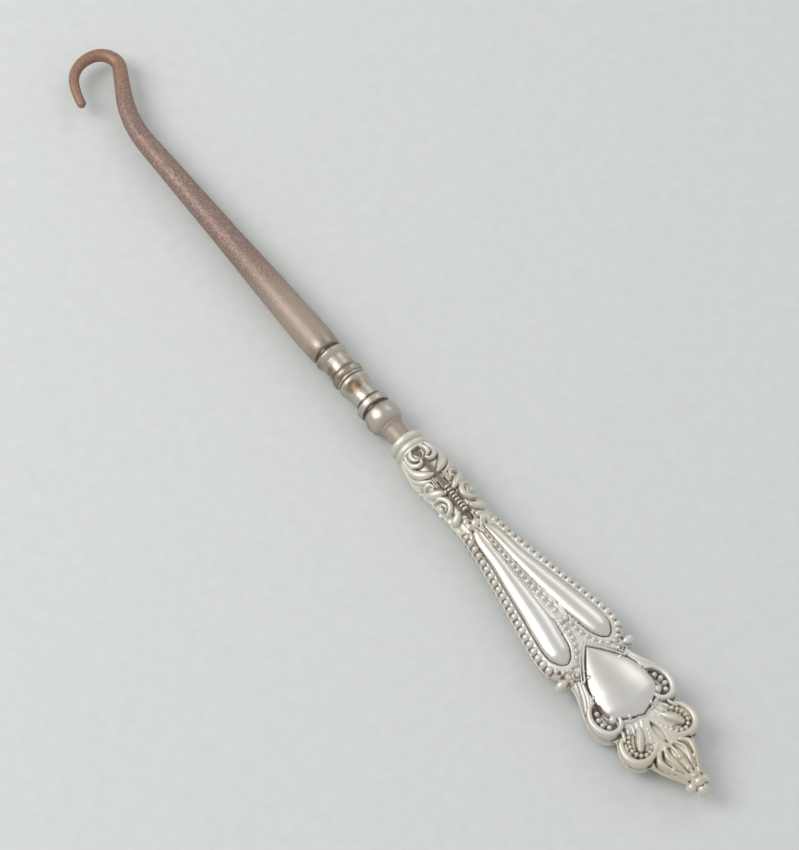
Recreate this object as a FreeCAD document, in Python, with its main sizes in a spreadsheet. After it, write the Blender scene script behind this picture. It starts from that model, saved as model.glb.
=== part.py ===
import FreeCAD, Part
import math
import os
import Sketcher

# Victorian button hook: a steel hook and shank in a hollow silver handle filled with pitch.
# The tool lies along X with the hook at -X and the handle's tip at +X. The handle's broad faces
# look up and down (Z) and the hook bends in the plane of those faces, with its point towards -Y.
# The origin is under the middle of the tool, on the surface it lies on.

os.makedirs("parts", exist_ok=True)
doc = FreeCAD.newDocument("button_hook")

Vector = FreeCAD.Vector
Rotation = FreeCAD.Rotation
Placement = FreeCAD.Placement

# Driving dimensions in millimetres and degrees: name, value, meaning
SIZES = [
    ("axis_height", 3.7, "height of the tool's axis above the surface it lies on"),
    ("handle_end", 95.0, "tip of the finial"),
    ("bend_start", -70.8, "end of the straight shank, where the hook's bend begins"),
    ("first_bend", 26.0, "radius of the first easy bend away from the axis"),
    ("first_turn", 27.0, "turn of the first bend"),
    ("lead_length", 6.3, "straight run from the first bend to the crown"),
    ("crown_bend", 3.8, "radius of the tight crown of the hook"),
    ("crown_turn", 108.0, "turn of the crown"),
    ("lower_bend", 5.8, "radius of the hook's lower limb"),
    ("lower_turn", 74.0, "turn of the lower limb"),
    ("point_bend", 18.6, "radius of the last run to the point"),
    ("point_turn", 15.0, "turn of the last run"),
    ("wire_bend_radius", 1.95, "shank radius where the bend begins"),
    ("wire_lead_radius", 1.6, "radius after the first bend"),
    ("wire_crown_radius", 1.38, "radius at the start of the crown"),
    ("wire_lower_radius", 1.18, "radius where the lower limb begins"),
    ("wire_limb_radius", 0.95, "radius at the end of the lower limb"),
    ("wire_point_radius", 0.86, "radius of the rounded point"),
    ("shank_thick_radius", 3.12, "shank radius beside the turned bands"),
    ("ring_radius", 3.12, "radius of the turned rings"),
    ("cove_radius", 2.58, "least radius of the turned coves"),
    ("groove_radius", 2.66, "radius at the foot of the cut grooves"),
    ("bulb_radius", 3.28, "largest radius of the turned bulb"),
    ("tang_radius", 1.95, "radius of the rough neck and of the tang at the handle's mouth"),
    ("tang_tip_radius", 1.1, "radius of the tang's end inside the handle"),
    ("tang_end", 48.0, "end of the tang inside the handle"),
    ("collar_start", 9.9, "outer face of the collar"),
    ("collar_radius", 3.4, "radius of the collar's beads"),
    ("collar_groove_radius", 3.02, "radius between the collar's beads"),
    ("collar_wall", 0.6, "thickness of the collar's end wall and skirt"),
    ("sheet", 0.45, "thickness of the struck silver sheet"),
    ("seam_proud", 0.16, "how far the solder line stands out of the seam"),
    ("seam_half_width", 0.16, "half the width of the solder line"),
    ("knob_place", 64.6, "place of the two side knobs along the axis"),
    ("knob_reach", 7.1, "distance of the side knobs' centres from the axis"),
    ("knob_length", 1.25, "half length of a side knob"),
    ("knob_thickness", 0.95, "half thickness of a side knob"),
    ("scroll_place", 74.3, "centre of the two side scrolls along the axis"),
    ("scroll_reach", 5.9, "distance of the scrolls' centres from the axis"),
    ("scroll_length", 3.5, "half length of a side scroll"),
    ("scroll_breadth", 2.45, "half breadth of a side scroll"),
    ("scroll_height", 2.5, "half thickness of a side scroll"),
    ("scroll_rim", 0.45, "radius of the raised rim of a side scroll"),
    ("petal_place", 81.2, "centre of the two petals along the axis"),
    ("petal_reach", 4.1, "distance of the petals' centres from the axis"),
    ("petal_length", 4.3, "half length of a petal"),
    ("petal_breadth", 2.7, "half breadth of a petal"),
    ("petal_height", 2.4, "half thickness of a petal"),
    ("petal_angle", 28.0, "lean of a petal away from the axis"),
    ("tip_ball_radius", 1.15, "radius of the finial's end ball"),
    ("side_ball_radius", 1.0, "radius of the finial's side balls"),
    ("side_ball_reach", 1.25, "distance of the side balls from the axis"),
    ("side_ball_setback", 2.415, "distance of the side balls' centres behind the handle's tip"),
    ("scroll_ring_radius", 1.75, "radius of the ring curled on each side scroll"),
    ("scroll_ring_level", 1.75, "height of that ring above the seam"),
    ("ridge_length", 2.7, "half length of the ridge down the middle of a petal"),
    ("ridge_breadth", 0.6, "half breadth of that ridge"),
    ("ridge_height", 2.75, "half thickness of the handle over that ridge"),
    ("leaf_place", 17.6, "centre of the leaf bands near the collar along the axis"),
    ("leaf_reach", 1.9, "distance of the leaf bands' centres from the axis"),
    ("leaf_level", 2.1, "height of the leaf bands' centres above the seam"),
    ("leaf_radius", 2.0, "radius of a curled leaf band"),
    ("leaf_thickness", 0.55, "half thickness of a leaf band"),
    ("leaf_tilt", 25.0, "lean of a leaf band down the neck's side"),
    ("slab_start", 5.0, "where the slabs that part the two shells begin"),
    ("slab_length", 120.0, "length of those slabs, more than the handle's"),
    ("slab_width", 30.0, "width of those slabs, more than the handle's"),
    ("slab_height", 10.0, "height of those slabs, more than a shell's"),
]

# Sections this many sheet thicknesses thin, or thinner, are left out of the pitch
LEAST_PITCH_SECTION = 1.4

# Turned outlines. Each row is the corner's name, its place along the axis, the driving radius it
# follows and how far it stands out of that radius. The collar's places start at its outer face.
TURNED = [
    ("thick_end", -16.6, "shank_thick_radius", 0.0),
    ("shoulder", -14.6, "shank_thick_radius", -0.04),
    ("shoulder_edge", -13.6, "shank_thick_radius", -0.2),
    ("first_groove", -13.25, "groove_radius", 0.0),
    ("first_groove_end", -12.75, "groove_radius", 0.0),
    ("first_ring_rise", -12.5, "ring_radius", -0.15),
    ("first_ring", -12.1, "ring_radius", 0.0),
    ("first_ring_fall", -11.7, "ring_radius", -0.1),
    ("first_cove_rise", -10.9, "cove_radius", 0.12),
    ("first_cove", -9.8, "cove_radius", 0.0),
    ("first_cove_end", -8.4, "cove_radius", 0.02),
    ("second_ring_foot", -7.95, "cove_radius", 0.08),
    ("second_ring_rise", -7.75, "ring_radius", -0.2),
    ("second_ring", -7.2, "ring_radius", -0.04),
    ("second_ring_fall", -6.7, "ring_radius", -0.12),
    ("bead_foot", -6.35, "groove_radius", 0.12),
    ("bead", -6.15, "groove_radius", 0.2),
    ("bead_end", -5.85, "groove_radius", 0.18),
    ("second_groove", -5.7, "groove_radius", 0.0),
    ("third_ring_rise", -5.5, "ring_radius", -0.16),
    ("third_ring", -5.0, "ring_radius", -0.1),
    ("second_cove_rise", -4.1, "cove_radius", 0.18),
    ("second_cove", -2.6, "cove_radius", -0.04),
    ("second_cove_low", -0.8, "cove_radius", -0.06),
    ("second_cove_end", -0.2, "cove_radius", -0.02),
    ("fourth_ring_rise", 0.0, "ring_radius", -0.05),
    ("fourth_ring", 0.6, "ring_radius", 0.03),
    ("fourth_ring_fall", 1.2, "ring_radius", -0.05),
    ("third_groove", 1.4, "groove_radius", 0.06),
    ("third_groove_end", 1.8, "groove_radius", 0.1),
    ("bulb_rise", 2.4, "bulb_radius", -0.22),
    ("bulb_crest", 3.3, "bulb_radius", -0.03),
    ("bulb", 4.0, "bulb_radius", 0.0),
    ("bulb_fall", 4.8, "bulb_radius", -0.14),
    ("bulb_side", 5.5, "bulb_radius", -0.6),
    ("bulb_foot", 6.0, "bulb_radius", -1.0),
    ("neck_rise", 6.3, "tang_radius", 0.25),
    ("neck_flare", 6.7, "tang_radius", 0.05),
    ("neck", 7.4, "tang_radius", 0.0),
]
COLLAR = [
    ("mouth_edge", 0.0, "collar_radius", -0.4),
    ("outer_bead_rise", 0.2, "collar_radius", -0.12),
    ("outer_bead", 0.7, "collar_radius", 0.0),
    ("outer_bead_fall", 1.2, "collar_radius", -0.12),
    ("collar_groove", 1.5, "collar_groove_radius", 0.0),
    ("collar_groove_end", 1.65, "collar_groove_radius", 0.0),
    ("inner_bead_rise", 1.85, "collar_radius", -0.1),
    ("inner_bead", 2.3, "collar_radius", 0.0),
    ("inner_bead_fall", 2.7, "collar_radius", -0.1),
    ("skirt_groove", 2.9, "collar_radius", -0.24),
    ("skirt", 3.3, "collar_radius", -0.2),
]

# Stations of the lofted shapes. Each row is place along the axis, distance from the axis to the
# section's centre, half width across the handle and half height above the seam.
STATIONS = {
    "blank": [
        (13.2, 0.0, 3.22, 3.18), (16.0, 0.0, 3.75, 3.3), (19.0, 0.0, 4.0, 3.3),
        (24.0, 0.0, 3.7, 2.85), (29.0, 0.0, 3.6, 2.5), (34.0, 0.0, 3.85, 2.4),
        (42.0, 0.0, 4.9, 2.45), (50.0, 0.0, 6.3, 2.55), (58.0, 0.0, 7.7, 2.65),
        (62.0, 0.0, 7.5, 2.7), (65.0, 0.0, 6.5, 2.75), (69.0, 0.0, 6.8, 2.8),
        (74.0, 0.0, 7.2, 2.75), (78.0, 0.0, 6.3, 2.5), (82.0, 0.0, 5.5, 2.3),
        (86.0, 0.0, 4.3, 2.1), (89.0, 0.0, 3.2, 1.9), (91.4, 0.0, 2.1, 1.5),
        (92.8, 0.0, 1.3, 1.1),
    ],
    "heart": [
        (61.3, 0.0, 0.3, 2.75), (63.0, 0.0, 1.6, 3.0), (66.0, 0.0, 3.6, 3.3),
        (69.0, 0.0, 5.1, 3.55), (72.0, 0.0, 5.75, 3.7), (74.5, 0.0, 5.5, 3.65),
        (76.5, 0.0, 4.2, 3.35), (77.9, 0.0, 1.6, 2.7),
    ],
    "rail": [
        (28.2, 2.3, 0.9, 1.3), (34.0, 2.75, 1.2, 1.65), (40.0, 3.4, 1.35, 1.75),
        (46.0, 4.45, 1.4, 1.8), (52.0, 5.65, 1.4, 1.8), (57.0, 6.55, 1.4, 1.8),
        (60.5, 6.85, 1.4, 1.8), (62.6, 6.5, 1.35, 1.7), (64.2, 5.6, 1.2, 1.4),
    ],
    "panel": [
        (31.8, 1.15, 0.2, 2.2), (35.0, 1.45, 0.9, 2.65), (40.0, 2.0, 1.45, 2.95),
        (46.0, 2.65, 1.9, 3.1), (52.0, 3.4, 2.25, 3.2), (57.0, 4.1, 2.35, 3.2),
        (60.3, 4.55, 1.95, 3.0), (62.2, 4.8, 0.7, 2.4),
    ],
}

sheet = doc.addObject("Spreadsheet::Sheet", "Sizes")
for row, (name, value, meaning) in enumerate(SIZES, start=1):
    sheet.set(f"A{row}", name)
    sheet.set(f"B{row}", str(value))
    sheet.set(f"C{row}", meaning)
    sheet.setAlias(f"B{row}", name)

corners = doc.addObject("Spreadsheet::Sheet", "Corners")
for row, (name, place, follows, proud) in enumerate(TURNED + COLLAR, start=1):
    corners.set(f"A{row}", name)
    corners.set(f"B{row}", str(place))
    corners.set(f"C{row}", str(proud))
    corners.setAlias(f"B{row}", f"{name}_place")
    corners.setAlias(f"C{row}", f"{name}_proud")

tables = doc.addObject("Spreadsheet::Sheet", "Stations")
FIELDS = ("place", "centre", "width", "height")
row = 1
for shape, stations in STATIONS.items():
    for number, station in enumerate(stations):
        tables.set(f"A{row}", f"{shape} station {number}")
        for column, field, value in zip("BCDE", FIELDS, station):
            tables.set(f"{column}{row}", str(value))
            tables.setAlias(f"{column}{row}", f"{shape}_{field}_{number}")
        row += 1
doc.recompute()


def size(name):
    """A driving dimension as a number."""
    return float(sheet.get(name))


# Sketch helpers

def origin_plane(body, role):
    """One of a body's own origin planes or axes, found by its role."""
    return next(item for item in body.Origin.OriginFeatures if item.Role == role)


def new_body(name):
    body = doc.addObject("PartDesign::Body", name)
    body.Label = name
    body.setExpression("Placement.Base.z", "Sizes.axis_height")
    return body


def pin(sketch, geometry, point, x_expression, y_expression):
    """Tie one point of a sketch to the sheet in both directions."""
    place = sketch.getPoint(geometry, point)
    for kind, value, expression in (("DistanceX", place.x, x_expression),
                                    ("DistanceY", place.y, y_expression)):
        index = sketch.addConstraint(Sketcher.Constraint(kind, -1, 1, geometry, point, value))
        sketch.setExpression(f"Constraints[{index}]", expression)


def lathe(body, name, profile):
    """Turn a closed outline round X. A profile row is a pair of expressions for x and radius."""
    sketch = body.newObject("Sketcher::SketchObject", f"{name}_outline")
    sketch.AttachmentSupport = [(origin_plane(body, "XY_Plane"), "")]
    sketch.MapMode = "FlatFace"
    points = [Vector(evaluate(x), evaluate(radius), 0) for x, radius in profile]
    count = len(points)
    for index in range(count):
        sketch.addGeometry(Part.LineSegment(points[index], points[(index + 1) % count]), False)
    for index in range(count):
        follower = (index + 1) % count
        sketch.addConstraint(Sketcher.Constraint("Coincident", index, 2, follower, 1))
    for index, (x, radius) in enumerate(profile):
        pin(sketch, index, 1, x, radius)
    turned = body.newObject("PartDesign::Revolution", name)
    turned.Profile = sketch
    turned.ReferenceAxis = (sketch, ["H_Axis"])
    turned.Angle = 360.0
    return turned


def evaluate(expression):
    """The present value of an expression over the sheets."""
    value = sheet.evalExpression(expression.replace("Sizes.", ""))
    return float(getattr(value, "Value", value))


def turned_rows(table, start=""):
    """Expressions for the place and radius of a turned outline's corners."""
    return [(f"{start}Corners.{name}_place", f"Sizes.{follows} + Corners.{name}_proud")
            for name, _, follows, _ in table]


# Steel: hook, shank, turned bands and tang in one forging

def hook_route():
    """Centreline of the hook as arcs and one line, with the frame at each joint between them."""
    place = Vector(size("bend_start"), 0, 0)
    heading = 180.0
    curves = []
    frames = [(place, heading)]
    legs = [
        ("first_bend", "first_turn", -1), ("lead_length", None, 0),
        ("crown_bend", "crown_turn", 1), ("lower_bend", "lower_turn", 1),
        ("point_bend", "point_turn", 1),
    ]
    for length, turn, side in legs:
        if side == 0:
            end = place + size(length) * direction(heading)
            curves.append(Part.LineSegment(place, end))
        else:
            radius = size(length)
            angle = size(turn) * side
            centre = place + radius * direction(heading + 90 * side)
            middle = centre + radius * direction(heading - 90 * side + angle / 2)
            end = centre + radius * direction(heading - 90 * side + angle)
            curves.append(Part.Arc(place, middle, end))
            heading += angle
        place = end
        frames.append((place, heading))
    return curves, frames


def direction(angle):
    """Unit vector in the plane of the hook, at an angle in degrees from +X."""
    return Vector(math.cos(math.radians(angle)), math.sin(math.radians(angle)), 0)


def wire_section(body, name, frame, radius_name):
    """Round section of the hook's wire, square to the route at a frame."""
    place, heading = frame
    sketch = body.newObject("Sketcher::SketchObject", name)
    across = Rotation(Vector(0, 0, 1), heading - 90) * Rotation(Vector(1, 0, 0), 90)
    sketch.Placement = Placement(place, across)
    sketch.addGeometry(Part.Circle(Vector(0, 0, 0), Vector(0, 0, 1), size(radius_name)), False)
    sketch.addConstraint(Sketcher.Constraint("Coincident", 0, 3, -1, 1))
    index = sketch.addConstraint(Sketcher.Constraint("Radius", 0, size(radius_name)))
    sketch.setExpression(f"Constraints[{index}]", f"Sizes.{radius_name}")
    return sketch


steel = new_body("hook_shank")
curves, frames = hook_route()

# The turned length, from the hook's bend to the end of the tang
turned_profile = [
    ("Sizes.bend_start", "0"),
    ("Sizes.bend_start", "Sizes.wire_bend_radius"),
    *turned_rows(TURNED),
    ("Sizes.collar_start + Sizes.collar_wall", "Sizes.tang_radius"),
    ("Sizes.tang_end", "Sizes.tang_tip_radius"),
    ("Sizes.tang_end", "0"),
]
lathe(steel, "turned_steel", turned_profile)

route = steel.newObject("Sketcher::SketchObject", "hook_route")
route.AttachmentSupport = [(origin_plane(steel, "XY_Plane"), "")]
route.MapMode = "FlatFace"
for curve in curves:
    route.addGeometry(curve, False)

radii = ["wire_bend_radius", "wire_lead_radius", "wire_crown_radius", "wire_lower_radius",
         "wire_limb_radius", "wire_point_radius"]
wire_sections = [wire_section(steel, f"wire_section_{number}", frame, radius)
                 for number, (frame, radius) in enumerate(zip(frames, radii))]
hook = steel.newObject("PartDesign::AdditivePipe", "bent_hook")
hook.Profile = wire_sections[0]
hook.Spine = route
hook.Transformation = "Multisection"
hook.Sections = wire_sections[1:]

point = steel.newObject("PartDesign::AdditiveSphere", "rounded_point")
point.setExpression("Radius", "Sizes.wire_point_radius")
point.Placement = Placement(frames[-1][0], Rotation())
steel.Tip = point


# Collar: a struck cup with two turned beads, over the handle's mouth

collar = new_body("neck_collar")
end = "Sizes.collar_start + Corners.skirt_place"
shoulder = "Sizes.collar_start + Sizes.collar_wall"
collar_profile = [
    ("Sizes.collar_start", "Sizes.tang_radius"),
    *turned_rows(COLLAR, "Sizes.collar_start + "),
    (end, "Sizes.collar_groove_radius - Sizes.collar_wall"),
    (shoulder, "Sizes.collar_groove_radius - Sizes.collar_wall"),
    (shoulder, "Sizes.tang_radius"),
]
lathe(collar, "turned_collar", collar_profile)


# Handle: the same shapes are used three times, grown for the solder line, at size for the
# struck sheet, and shrunk by the sheet's thickness for the pitch inside.

GROWTH = {"solder": "+ Sizes.seam_proud", "skin": "+ 0 * Sizes.sheet", "pitch": "- Sizes.sheet"}
ACROSS = Rotation(Vector(1, 1, 1), 120)
UPRIGHT = Rotation(Vector(1, 0, 1), 180)


def station_loft(shape, use, side=1):
    """Loft through elliptical sections square to the axis, on one side of it or centred.

    Each section starts on the same side, the inner one on a loft beside the axis, so that
    the loft isn't twisted where its sections turn from tall to wide.
    """
    sections = []
    shrink = size("sheet") if use == "pitch" else 0.0
    for number, (_, _, width, height) in enumerate(STATIONS[shape]):
        if min(width, height) <= LEAST_PITCH_SECTION * shrink:
            continue
        wide = width >= height
        section = doc.addObject("Part::Ellipse", f"{shape}_{use}_{number}")
        section.Placement = Placement(Vector(), ACROSS if wide else UPRIGHT)
        first = (180 if wide else 90) if side == 1 else (0 if wide else 270)
        section.Angle1 = first
        section.Angle2 = first or 360
        section.setExpression("Placement.Base.x", f"Stations.{shape}_place_{number}")
        section.setExpression("Placement.Base.y", f"{side} * Stations.{shape}_centre_{number}")
        section.setExpression("Placement.Base.z", "Sizes.axis_height")
        longer, shorter = ("width", "height") if wide else ("height", "width")
        section.MinorRadius = 0.1
        section.setExpression("MajorRadius", f"Stations.{shape}_{longer}_{number} {GROWTH[use]}")
        section.setExpression("MinorRadius", f"Stations.{shape}_{shorter}_{number} {GROWTH[use]}")
        sections.append(section)
    loft = doc.addObject("Part::Loft", f"{shape}_{use}")
    loft.Sections = sections
    loft.Solid = True
    loft.Ruled = False
    return loft


def lobe(name, use, side, place, reach, length, breadth, height, lean=0.0, lying=False):
    """Ellipsoid in the seam's plane, such as a petal, a scroll's body or a knob.

    A lying one has its poles along the tool and its seam line inside the handle.
    """
    solid = doc.addObject("Part::Ellipsoid", f"{name}_{use}")
    turn = Rotation(Vector(0, 0, 1), side * lean)
    radii = (height, length, breadth)
    if lying:
        turn = turn * Rotation(Vector(0, -side, 0), Vector(0, 0, -side), Vector(1, 0, 0), "ZXY")
        radii = (length, breadth, height)
    solid.Placement = Placement(Vector(), turn)
    solid.setExpression("Placement.Base.x", f"Sizes.{place}")
    solid.setExpression("Placement.Base.y", f"{side} * Sizes.{reach}")
    solid.setExpression("Placement.Base.z", "Sizes.axis_height")
    for number, radius in enumerate(radii, start=1):
        solid.setExpression(f"Radius{number}", f"Sizes.{radius} {GROWTH[use]}")
    return solid


def ball(name, use, x_expression, y_expression, radius):
    """Sphere centred in the seam's plane, with its poles along the tool."""
    solid = doc.addObject("Part::Sphere", f"{name}_{use}")
    solid.Placement = Placement(Vector(), Rotation(Vector(0, 1, 0), 90))
    solid.setExpression("Placement.Base.x", x_expression)
    solid.setExpression("Placement.Base.y", y_expression)
    solid.setExpression("Placement.Base.z", "Sizes.axis_height")
    solid.setExpression("Radius", f"Sizes.{radius} {GROWTH[use]}")
    return solid


def handle_masses(use):
    """The masses that make the handle's outline, for one of the three uses."""
    masses = [station_loft("blank", use)]
    for side in (1, -1):
        hand = "left" if side == 1 else "right"
        masses.append(station_loft("rail", use, side))
        masses.append(lobe(f"scroll_{hand}", use, side, "scroll_place", "scroll_reach",
                           "scroll_length", "scroll_breadth", "scroll_height", lying=True))
        masses.append(lobe(f"petal_{hand}", use, side, "petal_place", "petal_reach",
                           "petal_length", "petal_breadth", "petal_height",
                           size("petal_angle")))
        if use != "pitch":
            masses.append(lobe(f"knob_{hand}", use, side, "knob_place", "knob_reach",
                               "knob_thickness", "knob_length", "knob_thickness"))
            masses.append(ball(f"side_ball_{hand}", use,
                               "Sizes.handle_end - Sizes.side_ball_setback",
                               f"{side} * Sizes.side_ball_reach", "side_ball_radius"))
    if use != "pitch":
        masses.append(ball("tip_ball", use, "Sizes.handle_end - Sizes.tip_ball_radius", "0 mm",
                           "tip_ball_radius"))
    return masses


def fused(name, pieces):
    whole = doc.addObject("Part::MultiFuse", name)
    whole.Shapes = pieces
    return whole


def fused_in_turn(name, base, pieces):
    """Add raised work to a base one piece after the other."""
    whole = base
    for number, piece in enumerate(pieces, start=1):
        joined = doc.addObject("Part::Fuse", f"{name}_{number}")
        joined.Base = whole
        joined.Tool = piece
        whole = joined
    return whole


def slab(name, low, high):
    """Wide flat box between two heights measured from the seam."""
    box = doc.addObject("Part::Box", name)
    box.setExpression("Length", "Sizes.slab_length")
    box.setExpression("Width", "Sizes.slab_width")
    box.setExpression("Placement.Base.x", "Sizes.slab_start")
    box.setExpression("Placement.Base.y", "-Sizes.slab_width / 2")
    box.setExpression("Placement.Base.z", f"Sizes.axis_height + ({low})")
    box.setExpression("Height", f"({high}) - ({low})")
    return box


def cut(name, base, tool):
    result = doc.addObject("Part::Cut", name)
    result.Base = base
    result.Tool = tool
    return result


def common(name, base, tool):
    result = doc.addObject("Part::Common", name)
    result.Base = base
    result.Tool = tool
    return result


def ring(name, side, level, place, reach, height, radius, rim, tilt=0.0):
    """Curled band standing on one face of the handle."""
    solid = doc.addObject("Part::Torus", name)
    solid.Placement = Placement(Vector(), Rotation(Vector(1, 0, 0), -side * level * tilt))
    solid.setExpression("Placement.Base.x", f"Sizes.{place}")
    solid.setExpression("Placement.Base.y", f"{side} * Sizes.{reach}")
    solid.setExpression("Placement.Base.z", f"Sizes.axis_height + {level} * Sizes.{height}")
    solid.setExpression("Radius1", f"Sizes.{radius}")
    solid.setExpression("Radius2", f"Sizes.{rim}")
    return solid


def relief(level, face):
    """Raised work that stands on one face of the handle."""
    pieces = []
    for side in (1, -1):
        hand = "left" if side == 1 else "right"
        pieces.append(ring(f"scroll_ring_{face}_{hand}", side, level, "scroll_place",
                           "scroll_reach", "scroll_ring_level", "scroll_ring_radius",
                           "scroll_rim"))
        pieces.append(ring(f"leaf_band_{face}_{hand}", side, level, "leaf_place", "leaf_reach",
                           "leaf_level", "leaf_radius", "leaf_thickness",
                           size("leaf_tilt")))
    return pieces


# The pitch, with a plug into the collar's cup, cast round the tang
domes = [station_loft("heart", "pitch")]
domes += [station_loft("panel", "pitch", side) for side in (1, -1)]
plug = doc.addObject("Part::Cylinder", "collar_plug")
plug.Placement = Placement(Vector(), Rotation(Vector(0, 1, 0), 90))
plug.setExpression("Placement.Base.x", "Sizes.collar_start + Sizes.collar_wall")
plug.setExpression("Placement.Base.z", "Sizes.axis_height")
plug.setExpression("Radius", "Sizes.collar_groove_radius - Sizes.collar_wall")
plug.setExpression("Height", "Corners.skirt_place")
filling = fused("filling", handle_masses("pitch") + domes)
core = cut("pitch_core", fused("filling_and_plug", [filling, plug]), steel)
core.Label = "pitch_core"

# The two struck shells
outline = fused("outline", handle_masses("skin"))
domes = [station_loft("heart", "skin")]
domes += [station_loft("panel", "skin", side) for side in (1, -1)]
for side in (1, -1):
    hand = "left" if side == 1 else "right"
    domes.append(lobe(f"petal_ridge_{hand}", "skin", side, "petal_place", "petal_reach",
                      "ridge_length", "ridge_breadth", "ridge_height", size("petal_angle")))
ornate = fused_in_turn("ornate", outline, domes)
shells = []
for face, level, low, high in (("front", 1, "0", "Sizes.slab_height"),
                               ("back", -1, "-Sizes.slab_height", "0")):
    struck = fused_in_turn(f"{face}_struck", ornate, relief(level, face))
    half = common(f"{face}_half", struck, slab(f"{face}_side", low, high))
    shell = cut(f"{face}_shell", half, filling)
    shell.Label = f"{face}_shell"
    shells.append(shell)

# The solder line that closes the seam
grown = fused("grown_outline", handle_masses("solder"))
strip = common("seam_strip", grown,
               slab("seam_slab", "-Sizes.seam_half_width", "Sizes.seam_half_width"))
solder = cut("seam_solder", strip, outline)
solder.Label = "seam_solder"

doc.recompute()

for item in doc.Objects:
    troubles = [state for state in item.State if state in ("Invalid", "Error")]
    if troubles:
        raise RuntimeError(f"{item.Name} failed: {troubles}")

for piece in [steel, collar, core, solder] + shells:
    shape = piece.Shape
    if shape.isNull() or not shape.isValid():
        raise RuntimeError(f"{piece.Label} has no valid shape")
    print(piece.Label, "solids", len(shape.Solids), "volume", round(shape.Volume, 1))
    shape.exportStep(f"parts/{piece.Label}.step")
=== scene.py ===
import math

import bpy
import numpy as np
from mathutils import Matrix, Vector


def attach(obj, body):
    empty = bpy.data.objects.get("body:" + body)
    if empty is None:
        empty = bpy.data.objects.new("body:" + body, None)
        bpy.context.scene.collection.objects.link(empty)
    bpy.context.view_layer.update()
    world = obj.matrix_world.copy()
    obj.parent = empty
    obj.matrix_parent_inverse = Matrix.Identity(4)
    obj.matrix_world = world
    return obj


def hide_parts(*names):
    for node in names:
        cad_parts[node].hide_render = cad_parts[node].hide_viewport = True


# A Victorian button hook lying on a pale table: a rusted steel hook and shank with turned bands,
# a ringed silver collar, and a handle of two struck silver shells joined at a soldered seam.
# Lengths are in millimetres until a mesh is made. X runs from the hook to the handle's tip, Y lies
# across the handle and Z stands out of its front. AXIS is the height of the tool's own axis.

MM = 0.001
AXIS = 3.7
SHEET = 0.45
SEED = 11
SLIVER = 0.02           # least half width, so that nothing is divided by nothing
TARNISH_DEPTH = 0.3     # how deep a hollow lies below its surroundings when it is wholly tarnished

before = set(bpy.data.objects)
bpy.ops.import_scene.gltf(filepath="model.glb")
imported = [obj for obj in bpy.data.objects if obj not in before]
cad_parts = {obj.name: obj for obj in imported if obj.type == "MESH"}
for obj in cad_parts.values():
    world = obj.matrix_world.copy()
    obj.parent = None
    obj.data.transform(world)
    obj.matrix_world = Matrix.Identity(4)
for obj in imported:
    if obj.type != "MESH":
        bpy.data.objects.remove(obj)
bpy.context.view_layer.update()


# ---------------------------------------------------------------- curves and small mathematics

def step(low, high, value):
    """Smooth step from 0 at low to 1 at high: 3t^2 - 2t^3."""
    t = np.clip((value - low) / (high - low), 0.0, 1.0)
    return t * t * (3.0 - 2.0 * t)


def along(x, stations):
    """Value at x of a monotone cubic through (place, value) stations, so it never overshoots.

    The slope at a station is the weighted harmonic mean of the slopes either side, or zero at a
    peak or a hollow.
    """
    place, value = np.array(stations, dtype=float).T
    gap = np.diff(place)
    rise = np.diff(value) / gap
    slope = np.zeros_like(value)
    same = rise[:-1] * rise[1:] > 0.0
    before = np.where(same, rise[:-1], 1.0)
    after = np.where(same, rise[1:], 1.0)
    near = 2.0 * gap[1:] + gap[:-1]
    far = gap[1:] + 2.0 * gap[:-1]
    slope[1:-1] = np.where(same, (near + far) / (near / before + far / after), 0.0)
    slope[0] = rise[0]
    slope[-1] = rise[-1]
    x = np.asarray(x, dtype=float)
    i = np.clip(np.searchsorted(place, x) - 1, 0, len(gap) - 1)
    t = np.clip((x - place[i]) / gap[i], 0.0, 1.0)
    return ((2 * t**3 - 3 * t**2 + 1) * value[i] + (t**3 - 2 * t**2 + t) * gap[i] * slope[i]
            + (3 * t**2 - 2 * t**3) * value[i + 1] + (t**3 - t**2) * gap[i] * slope[i + 1])


def flowing(points, count=60):
    """Catmull-Rom curve through rows of numbers, every column following the same curve."""
    p = np.array(points, dtype=float)
    p = np.vstack([2 * p[0] - p[1], p, 2 * p[-1] - p[-2]])
    t = np.linspace(0.0, len(points) - 1.0, count)
    i = np.minimum(t.astype(int), len(points) - 2)
    f = (t - i)[:, None]
    a, b, c, d = p[i], p[i + 1], p[i + 2], p[i + 3]
    return 0.5 * (2 * b + (c - a) * f + (2 * a - 5 * b + 4 * c - d) * f**2
                  + (3 * b - a - 3 * c + d) * f**3)


def spaced(points, pitch):
    """Rows along a flowing curve at an even pitch, measured over its first two columns."""
    curve = flowing(points, 400)
    steps = np.hypot(*np.diff(curve[:, :2], axis=0).T)
    run = np.concatenate([[0.0], np.cumsum(steps)])
    stops = np.linspace(0.0, run[-1], max(2, int(round(run[-1] / pitch)) + 1))
    return np.stack([np.interp(stops, run, column) for column in curve.T], axis=1)


def mottle(u, v, seed):
    """Value noise: random numbers on a unit lattice, joined by smooth steps both ways."""
    lattice = np.random.default_rng(seed).uniform(-1.0, 1.0, (64, 64))
    i, j = np.floor(u).astype(int), np.floor(v).astype(int)
    f, g = step(0.0, 1.0, u - i), step(0.0, 1.0, v - j)
    a, b = lattice[i % 64, j % 64], lattice[(i + 1) % 64, j % 64]
    c, d = lattice[i % 64, (j + 1) % 64], lattice[(i + 1) % 64, (j + 1) % 64]
    return (a * (1 - f) + b * f) * (1 - g) + (c * (1 - f) + d * f) * g


# ---------------------------------------------------------------- meshes

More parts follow.
